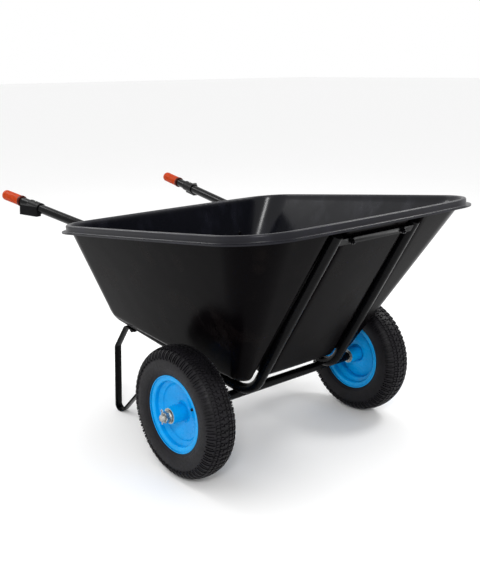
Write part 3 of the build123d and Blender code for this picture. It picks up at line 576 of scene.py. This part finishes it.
def tub_sheet(settings):
    """Upper face of the tub's moulding, from the lip over the bead and down to the floor."""
    wall, bead = settings.wall / MM, settings.bead / MM
    skirt, lip, depth = settings.skirt / MM, settings.lip / MM, settings.channel_depth / MM
    inside = -bead - wall
    foot = -skirt + wall
    band = [(lip, foot), (lip - 1, foot), (3.4, foot), (1.4, foot + 0.5), (0.3, foot + 1.8), (0, foot + 4),
            (0, -9), (0, -5), (-0.5, -2.6), (-1.8, -0.8), (-4, 0), (-9, 0), (inside + 4, -0.4),
            (inside + 2, -1.8), (inside + 0.6, -4.6), (inside, -9)]
    columns = tub_columns(inside, wall)
    rows = []
    for offset, level in band:
        outline = rim_outline(offset)
        rows.append([on_rim_plane(outline.point(c[1]), level) for c in columns])
    top_outline, low_outline = rim_outline(inside), floor_outline(wall)
    tops = rows[-1]
    lows = [on_floor_plane(low_outline.point(c[0]), wall) for c in columns]
    reaches = [23.0 + 11.0 * c[2] for c in columns]
    inner_outline = floor_outline(wall + 34.0)
    far_floor = [on_floor_plane(inner_outline.point(c[0]), wall) for c in columns]
    on_floor = [low + (far - low) * (reach / 34.0) for low, far, reach in zip(lows, far_floor, reaches)]
    front_low = on_floor_plane(low_outline.point(("side", 1, 0.5)), wall)
    front_high = on_rim_plane(top_outline.point(("side", 1, 0.5)), 0)
    rise = (front_high - front_low).normalized()
    inward = Vector((-rise.z, 0, rise.x))
    heights = [1 - k / 26 for k in range(1, 26)]
    reach_top = (CHANNEL_TOP - front_low.z) / (front_high.z - front_low.z)
    heights += [reach_top - drop for drop in (0.0, 0.008, 0.016, 0.024)]
    heights = sorted(set(heights), reverse=True)

    def pushed(point, column, fade=1.0):
        lowered = min(1.0, max(0.0, (CHANNEL_TOP - point.z) / 11.0))
        ease = lowered * lowered * (3 - 2 * lowered)
        deeper = depth + 9.0 * min(1.0, (CHANNEL_TOP - point.z) / (CHANNEL_TOP - front_low.z))
        return point + inward * (deeper * column[2] * ease * fade)

    for height in heights:
        row = []
        for top, low, column, reach in zip(tops, lows, columns, reaches):
            start = low + (top - low).normalized() * reach
            share = (height - heights[-1]) / (1 - heights[-1])
            row.append(pushed(start + (top - start) * share, column))
        rows.append(row)
    for k in range(1, 8):
        t = k / 7
        row = []
        for top, low, flat, column, reach in zip(tops, lows, on_floor, columns, reaches):
            start = low + (top - low).normalized() * reach
            weight = math.cos((low - start).angle(flat - low) / 2)
            whole = (1 - t) ** 2 + 2 * weight * t * (1 - t) + t * t
            row.append(pushed((start * (1 - t) ** 2 + low * 2 * weight * t * (1 - t) + flat * t * t) / whole,
                              column, 1.0 - 0.25 * t))
        rows.append(row)
    centre = on_floor_plane(Vector((300, 0)), wall)
    for share, fade in ((0.06, 0.4), (0.12, 0.12), (0.2, 0.0), (0.5, 0.0), (0.8, 0.0)):
        rows.append([pushed(p + (centre - p) * share, c, fade) for p, c in zip(on_floor, columns)])
    return rows, centre, len(band)


def make_tub(settings):
    rows, centre, band_rows = tub_sheet(settings)
    columns = len(rows[0])
    vertices = [p * MM + Vector((AXLE_X, 0, 0)) for row in rows for p in row]
    vertices.append(centre * MM + Vector((AXLE_X, 0, 0)))
    faces = grid_faces(len(rows), columns)
    last = (len(rows) - 1) * columns
    faces += [(last + j, last + (j + 1) % columns, len(vertices) - 1) for j in range(columns)]
    mesh = mesh_from(vertices, faces, outward=False)
    floor = min(mesh.polygons, key=lambda p: (p.center - vertices[-1]).length)
    if floor.normal.z < 0:
        mesh.flip_normals()
    # Slot 0 is the inside copy lightened as painted light, slot 1 the outside copy darkened as painted shade,
    # slot 2 the rim copy lightened as a painted highlight.
    for name in ("tub_plastic", "tub_outside_painted_shade", "tub_rim_painted_highlight"):
        mesh.materials.append(material_of(name))
    # Faces of the rolled rim band take the lighter rim copy, a painted highlight along the bead.
    for i, polygon in enumerate(mesh.polygons):
        polygon.material_index = 2 if i < (band_rows - 1) * columns else 0
    mesh = baked(mesh, ("SOLIDIFY", {"thickness": settings.wall, "offset": -1.0, "material_offset": 1,
                                     "material_offset_rim": 2}))
    return finish_piece(mesh, "tub_moulding", "barrow", "tub_plastic", ("tub",), sharp=60, painted=True)


# ---------------------------------------------------------------- tyres and rims

CASING = [(112, 33.2), (115.5, 35.6), (118.5, 38.4), (122, 40.9), (124.5, 41.4), (127, 43.4), (134, 45.6),
          (143, 47.2), (153, 47.8), (162, 47.3), (170, 45.9), (176, 44.0), (181, 41.4), (185.5, 37.4),
          (189, 32), (192, 25), (194.3, 16), (195.6, 8), (196, 0)]


def casing_point(reach):
    """Point and outward normal of the casing, reach being the distance from the crown in mm."""
    half = smooth_profile(CASING[::-1], 6)
    gone = 0.0
    target = abs(reach)
    for a, b in zip(half, half[1:]):
        length = math.dist(a, b)
        if gone + length >= target:
            t = (target - gone) / length
            radius, y = a[0] + (b[0] - a[0]) * t, a[1] + (b[1] - a[1]) * t
            normal = Vector((b[1] - a[1], a[0] - b[0])).normalized()
            break
        gone += length
    sign = 1 if reach >= 0 else -1
    return Vector((radius, sign * y)), Vector((normal.x, sign * normal.y))


def tread_block(path, height, sink=1.2, taper=0.82):
    """A block laid on the casing: path lists (around mm, reach mm, half-width mm)."""
    vertices, faces = [], []
    for around, reach, half in path:
        point, normal = casing_point(reach)
        for lift, width in ((-sink, half), (height, half * taper)):
            for side in (-1, 1):
                radius = point.x + normal.x * lift
                angle = (around + side * width) / WHEEL_RADIUS * MM
                vertices.append(Vector((radius * math.cos(angle), point.y + normal.y * lift,
                                        radius * math.sin(angle))) * MM)
    count = len(path)
    for i in range(count - 1):
        a, b = 4 * i, 4 * i + 4
        faces += [(a + 2, a + 3, b + 3, b + 2), (a, a + 2, b + 2, b), (a + 3, a + 1, b + 1, b + 3),
                  (a + 1, a, b, b + 1)]
    faces += [(0, 1, 3, 2), (4 * count - 4, 4 * count - 2, 4 * count - 1, 4 * count - 3)]
    return vertices, faces


def tread_pitch(settings):
    """One repeat of the tread: shoulder blocks, thin shoulder ribs and the zig-zag middle."""
    height = settings.tread_depth / MM
    blocks = []
    for sign in (-1, 1):
        blocks.append(([(0, sign * 33.5, 4.6), (0, sign * 39, 4.4), (0, sign * 45, 3.9), (0, sign * 52, 3.2),
                        (0, sign * 58, 2.6)], height))
        blocks.append(([(9.4, sign * 38, 1.7), (9.4, sign * 45, 1.5), (9.4, sign * 52, 1.3),
                        (9.4, sign * 62, 1.0)], height * 0.8))
        blocks.append(([(5.4, sign * 21.5, 3.9), (3.2, sign * 26, 4.1), (5.2, sign * 30.5, 3.9)], height))
        blocks.append(([(-3.6, sign * 22.5, 2.9), (-5.4, sign * 26, 3.1), (-3.6, sign * 29.5, 2.9)], height))
        blocks.append(([(1.2, sign * 8.5, 4.0), (3.6, sign * 13.5, 4.4), (1.2, sign * 18.5, 4.0)], height))
        blocks.append(([(-7.6, sign * 10, 2.6), (-5.8, sign * 13.5, 2.8), (-7.6, sign * 17, 2.6)], height))
    blocks.append(([(-2.4, -5.4, 4.4), (0.6, 0, 4.8), (-2.4, 5.4, 4.4)], height))
    vertices, faces = [], []
    for path, rise in blocks:
        some, quads = tread_block(path, rise)
        faces += [tuple(i + len(vertices) for i in quad) for quad in quads]
        vertices += some
    return mesh_from(vertices, faces)


def repeat_round_axle():
    """Geometry Nodes tree that repeats its geometry round the Y axis."""
    tree = bpy.data.node_groups.new("repeat_round_axle", "GeometryNodeTree")
    tree.is_modifier = True
    tree.interface.new_socket("Geometry", in_out="INPUT", socket_type="NodeSocketGeometry")
    tree.interface.new_socket("Count", in_out="INPUT", socket_type="NodeSocketInt")
    tree.interface.new_socket("Material", in_out="INPUT", socket_type="NodeSocketMaterial")
    tree.interface.new_socket("Geometry", in_out="OUTPUT", socket_type="NodeSocketGeometry")
    given = add_node(tree, "NodeGroupInput").outputs
    points = add_node(tree, "GeometryNodePoints", {"Count": given["Count"]})
    index = add_node(tree, "GeometryNodeInputIndex").outputs[0]
    share = add_node(tree, "ShaderNodeMath", {0: index, 1: given["Count"]}, operation="DIVIDE").outputs[0]
    angle = add_node(tree, "ShaderNodeMath", {0: share, 1: 2 * math.pi}, operation="MULTIPLY").outputs[0]
    turn = add_node(tree, "ShaderNodeCombineXYZ", {"Y": angle}).outputs[0]
    placed = add_node(tree, "GeometryNodeInstanceOnPoints",
                      {"Points": points.outputs[0], "Instance": given["Geometry"], "Rotation": turn})
    real = add_node(tree, "GeometryNodeRealizeInstances", {"Geometry": placed.outputs[0]})
    painted = add_node(tree, "GeometryNodeSetMaterial",
                       {"Geometry": real.outputs[0], "Material": given["Material"]})
    add_node(tree, "NodeGroupOutput", {"Geometry": painted.outputs[0]})
    return tree


def repeated(mesh, count, material):
    """The mesh repeated round the Y axis, as one plain mesh."""
    tree = bpy.data.node_groups.get("repeat_round_axle") or repeat_round_axle()
    holder = bpy.data.objects.new("holder", mesh)
    bpy.context.scene.collection.objects.link(holder)
    modifier = holder.modifiers.new("repeat", "NODES")
    modifier.node_group = tree
    sockets = {item.name: item.identifier for item in tree.interface.items_tree
               if item.item_type == "SOCKET" and item.in_out == "INPUT"}
    modifier[sockets["Count"]] = count
    modifier[sockets["Material"]] = material
    graph = bpy.context.evaluated_depsgraph_get()
    result = bpy.data.meshes.new_from_object(holder.evaluated_get(graph))
    holder.modifiers.remove(modifier)
    bpy.data.objects.remove(holder)
    return result


def make_tyre(name, side, settings):
    outer = smooth_profile(CASING, 4)
    profile = outer + [(r, -y) for r, y in outer[-2::-1]]
    profile += [(r - 8 if r > 120 else r, -max(abs(y) - 8, 0)) for r, y in outer[::3]]
    profile += [(r - 8 if r > 120 else r, max(abs(y) - 8, 0)) for r, y in outer[::-3]]
    vertices, faces = lathe([(r * MM, y * MM) for r, y in profile], 180)
    mesh = place_wheel_mesh(mesh_from(vertices, faces), side)
    finish_piece(mesh, "tyre_casing_" + name, "wheel_" + name, "tyre_rubber", ("tyre_" + name,), sharp=50)
    tread = repeated(tread_pitch(settings), settings.tread_pitches, material_of("tyre_rubber"))
    finish_piece(place_wheel_mesh(tread, side), "tyre_tread_" + name, "wheel_" + name, "tyre_rubber",
                 sharp=30)


def make_rim(name, side):
    lip = [(114.2, 37.4), (115.9, 37.2), (116.7, 35.9), (116.2, 34.4), (114.6, 33.7), (112, 33.5)]
    barrel_half = lip + [(106, 33.4), (102.5, 32.9), (100.6, 31.2), (100, 28.5), (99.8, 20), (99.2, 18),
                         (97.4, 16.6), (91, 12.8), (88.2, 11.4), (86.9, 9.6), (86.6, 7)]
    barrel = barrel_half + [(r, -y) for r, y in barrel_half[::-1]]
    disc = [(86.2, 8.4), (84.6, 6.2), (82.0, 4.4), (78.5, 3.2), (70, 1.1), (58, -1.8), (48, -4.2), (42, -5.4),
            (37, -5.8), (33, -5.2), (30, -3.4), (28, -0.4), (27, 2.2)]
    for part, points in (("barrel", barrel), ("disc", disc)):
        vertices, faces = lathe([(r * MM, y * MM) for r, y in smooth_profile(points, 3)], 144, closed=False)
        mesh = mesh_from(vertices, faces, outward=False)
        mesh = baked(mesh, ("SOLIDIFY", {"thickness": 0.0024, "offset": 0.0, "use_even_offset": True}))
        made = bmesh.new()
        made.from_mesh(mesh)
        bmesh.ops.recalc_face_normals(made, faces=made.faces)
        made.to_mesh(mesh)
        made.free()
        finish_piece(place_wheel_mesh(mesh, side), "rim_" + part + "_" + name, "wheel_" + name, "blue_enamel",
                     ("rim_" + name,), sharp=40)


# ---------------------------------------------------------------- grips

def make_grip(name, side, settings):
    """Ribbed grip with a smooth rolled end and a separate dark collar at its inner end."""
    corners = tube_corners(side)
    run = (corners[1] - corners[0]).normalized()
    length, radius = 112.0, 19.0
    profile = [(0.02, -1.95), (9, -1.95), (13.5, -1.6), (16.6, 0.0), (18.4, 2.6), (19.0, 5.5), (19.0, 9)]
    count = settings.grip_ribs
    pitch = (length - 26) / count
    for k in range(count):
        at = 10 + k * pitch
        profile += [(radius, at), (radius, at + pitch * 0.55), (radius - 0.9, at + pitch * 0.66),
                    (radius - 0.9, at + pitch * 0.9)]
    profile += [(radius, length - 15), (radius, length - 12.2), (radius - 1.5, length - 12),
                (16.2, length - 12), (16.2, 0.5), (0.02, 0.5)]
    collar = [(16.2, length - 12), (19.4, length - 12), (20.1, length - 11.4), (20.4, length - 10),
              (20.4, length - 4.6), (20.1, length - 3.2), (19.2, length - 2.4), (16.2, length - 2)]
    turn = Vector((0, 1, 0)).rotation_difference(run).to_matrix().to_4x4()
    place = Matrix.Translation(corners[0]) @ turn
    for label, points, slot in (("grip", profile, "orange_grip"), ("grip_collar", collar, "grip_collar")):
        vertices, faces = lathe([(r * MM, y * MM) for r, y in points], 64)
        mesh = mesh_from(vertices, faces)
        mesh.transform(place)
        finish_piece(mesh, label + "_" + name + "_moulding", "barrow", slot, ("grip_" + name,), sharp=38)


# ---------------------------------------------------------------- the stage

# Area lights: name, place, aim, size in metres and power in watts.
LIGHTS = (("top", (0.2, -0.2, 4.6), (0.1, -0.2, 0.0), 3.6, 45),
          ("key", (2.9, -2.5, 2.5), (0.0, 0.0, 0.5), 0.7, 55),
          ("nose", (1.0, 2.4, 2.9), (0.7, 0.0, 0.7), 0.9, 45),
          ("back", (-3.2, -0.9, 2.7), (0.0, -0.3, 0.5), 1.0, 30))
FLOOR_REACH = 60
CAMERA_TURN = (49.377, 14.582, -0.6085)
CAMERA_SHIFT_Y = -0.01974
CAMERA_FAR = 100


def backdrop_mesh():
    """A plain floor, open on every side, big enough to reach the horizon."""
    corners = [(x * FLOOR_REACH, y * FLOOR_REACH, 0) for x, y in ((-1, -1), (1, -1), (1, 1), (-1, 1))]
    return mesh_from(corners, [(0, 1, 2, 3)], outward=False)


def camera_frame(place):
    """Camera matrix from its azimuth, elevation and roll."""
    azimuth, elevation, roll = (math.radians(a) for a in CAMERA_TURN)
    back = Vector((math.sin(azimuth) * math.cos(elevation), -math.cos(azimuth) * math.cos(elevation),
                   math.sin(elevation)))
    level = Vector((math.cos(azimuth), math.sin(azimuth), 0))
    upright = back.cross(level)
    right = level * math.cos(roll) + upright * math.sin(roll)
    up = upright * math.cos(roll) - level * math.sin(roll)
    turned = Matrix((right, up, back)).transposed().to_4x4()
    return Matrix.Translation(place) @ turned


# ---------------------------------------------------------------- operators

class BARROW_OT_tub(bpy.types.Operator):
    """Builds the moulded tub with its rolled rim and tube channels"""
    bl_idname = "barrow.tub"
    bl_label = "Tub"

    def execute(self, context):
        make_tub(context.scene.barrow_tub)
        return {"FINISHED"}


class BARROW_OT_tubes(bpy.types.Operator):
    """Builds the two bent side tubes, the axle beam, the nose strap and the tube plugs"""
    bl_idname = "barrow.tubes"
    bl_label = "Tube frame"

    def execute(self, context):
        radius = context.scene.barrow_frame.tube_radius
        for name, side in SIDES.items():
            path = bent_path(tube_corners(side), [r * MM for r in TUBE_BENDS])
            mesh = swept_tube(path, radius, radius - 0.0018)
            finish_piece(mesh, "side_tube_" + name + "_bent", "barrow", "black_enamel",
                         ("side_tube_" + name,), sharp=50)
        refined("axle_beam", 0.0)
        refined("front_strap", 0.6)
        refined("tube_plugs", 0.0)
        return {"FINISHED"}


class BARROW_OT_legs(bpy.types.Operator):
    """Builds the two bent flat-bar legs with eased edges"""
    bl_idname = "barrow.legs"
    bl_label = "Legs"

    def execute(self, context):
        for name in SIDES:
            refined("leg_" + name, 0.8)
        return {"FINISHED"}


class BARROW_OT_grips(bpy.types.Operator):
    """Builds the ribbed grips, their collars and the hand guards"""
    bl_idname = "barrow.grips"
    bl_label = "Grips and guards"

    def execute(self, context):
        for name, side in SIDES.items():
            make_grip(name, side, context.scene.barrow_frame)
            refined("hand_guard_" + name, 0.0)
        refined("guard_screws", 0.2)
        return {"FINISHED"}


class BARROW_OT_tyres(bpy.types.Operator):
    """Builds the tyres with their moulded tread"""
    bl_idname = "barrow.tyres"
    bl_label = "Tyres"

    def execute(self, context):
        for name, side in SIDES.items():
            make_tyre(name, side, context.scene.barrow_wheel)
        return {"FINISHED"}


class BARROW_OT_rims(bpy.types.Operator):
    """Builds the pressed and dished rims and finishes their valves"""
    bl_idname = "barrow.rims"
    bl_label = "Rims"

    def execute(self, context):
        for name, side in SIDES.items():
            make_rim(name, side)
            for part in ("valve_stem_", "valve_cap_", "inner_tube_"):
                refined(part + name, 0.0)
        return {"FINISHED"}


class BARROW_OT_hubs(bpy.types.Operator):
    """Finishes the hubs, bearings, stub axles, axle washers, nuts and split pins"""
    bl_idname = "barrow.hubs"
    bl_label = "Hubs and axle ends"

    def execute(self, context):
        for name in SIDES:
            refined("hub_" + name, 0.5, slot="blue_enamel")
            refined("bearings_" + name, 0.3)
            refined("stub_axle_" + name, 0.0)
            refined("axle_nut_" + name, 0.4)
            refined("split_pin_" + name, 0.0)
        refined("axle_washers", 0.3)
        return {"FINISHED"}


class BARROW_OT_fixings(bpy.types.Operator):
    """Finishes the bolts, washers and nuts that hold the tub and the legs"""
    bl_idname = "barrow.fixings"
    bl_label = "Fixings"

    def execute(self, context):
        for group in ("floor", "rear", "strut", "front"):
            finish = None if group == "strut" else "black_enamel"
            refined(group + "_bolts", 0.0, slot=finish)
            refined(group + "_washers", 0.2, slot=finish)
            refined(group + "_nuts", 0.3, slot=finish)
        return {"FINISHED"}


class BARROW_OT_stage(bpy.types.Operator):
    """Sets the pale floor, the soft studio light and the camera"""
    bl_idname = "barrow.stage"
    bl_label = "Stage"

    def execute(self, context):
        settings = context.scene.barrow_stage
        material, _, shader, _ = start_material("pale_floor", Roughness=0.9, IOR=1.4)
        shader.inputs["Base Color"].default_value = linear(settings.floor_colour)
        mesh = backdrop_mesh()
        mesh.materials.append(material)
        mesh.shade_smooth()
        floor = bpy.data.objects.new("floor", mesh)
        context.scene.collection.objects.link(floor)
        world = bpy.data.worlds.new("soft_room")
        world.use_nodes = True
        world.node_tree.nodes["Background"].inputs[0].default_value = linear("#FFFFFF")
        world.node_tree.nodes["Background"].inputs[1].default_value = settings.room_light
        context.scene.world = world
        context.scene.view_settings.view_transform = "Standard"
        for name, place, aim, size, power in LIGHTS:
            light = bpy.data.lights.new(name, "AREA")
            light.size = size
            light.energy = power
            lamp = bpy.data.objects.new(name, light)
            lamp.location = place
            lamp.rotation_euler = (Vector(aim) - Vector(place)).to_track_quat("-Z", "Y").to_euler()
            context.scene.collection.objects.link(lamp)
        camera_data = bpy.data.cameras.new("camera")
        camera_data.lens = settings.lens
        camera_data.shift_y = CAMERA_SHIFT_Y
        camera_data.clip_end = CAMERA_FAR
        camera = bpy.data.objects.new("camera", camera_data)
        camera.matrix_world = camera_frame(settings.camera_place)
        context.scene.collection.objects.link(camera)
        context.scene.camera = camera
        return {"FINISHED"}


class BARROW_PT_panel(bpy.types.Panel):
    bl_label = "Wheelbarrow"
    bl_space_type = "VIEW_3D"
    bl_region_type = "UI"
    bl_category = "Barrow"

    def draw(self, context):
        for settings in (context.scene.barrow_tub, context.scene.barrow_frame, context.scene.barrow_wheel,
                         context.scene.barrow_stage):
            box = self.layout.box()
            for key in settings.__annotations__:
                box.prop(settings, key)
        for operator in OPERATORS:
            self.layout.operator(operator.bl_idname)


SETTINGS = {"barrow_tub": BarrowTubSettings, "barrow_frame": BarrowFrameSettings,
            "barrow_wheel": BarrowWheelSettings, "barrow_stage": BarrowStageSettings}
OPERATORS = (BARROW_OT_tub, BARROW_OT_tubes, BARROW_OT_legs, BARROW_OT_grips, BARROW_OT_tyres, BARROW_OT_rims,
             BARROW_OT_hubs, BARROW_OT_fixings, BARROW_OT_stage)


def register():
    for name, group in SETTINGS.items():
        bpy.utils.register_class(group)
        setattr(bpy.types.Scene, name, PointerProperty(type=group))
    for item in OPERATORS + (BARROW_PT_panel,):
        bpy.utils.register_class(item)


def unregister():
    for item in (BARROW_PT_panel,) + OPERATORS[::-1]:
        bpy.utils.unregister_class(item)
    for name, group in SETTINGS.items():
        delattr(bpy.types.Scene, name)
        bpy.utils.unregister_class(group)


def main():
    register()
    for operator in OPERATORS:
        group, name = operator.bl_idname.split(".")
        getattr(getattr(bpy.ops, group), name)()
    bpy.context.view_layer.update()


if __name__ == "__main__":
    main()
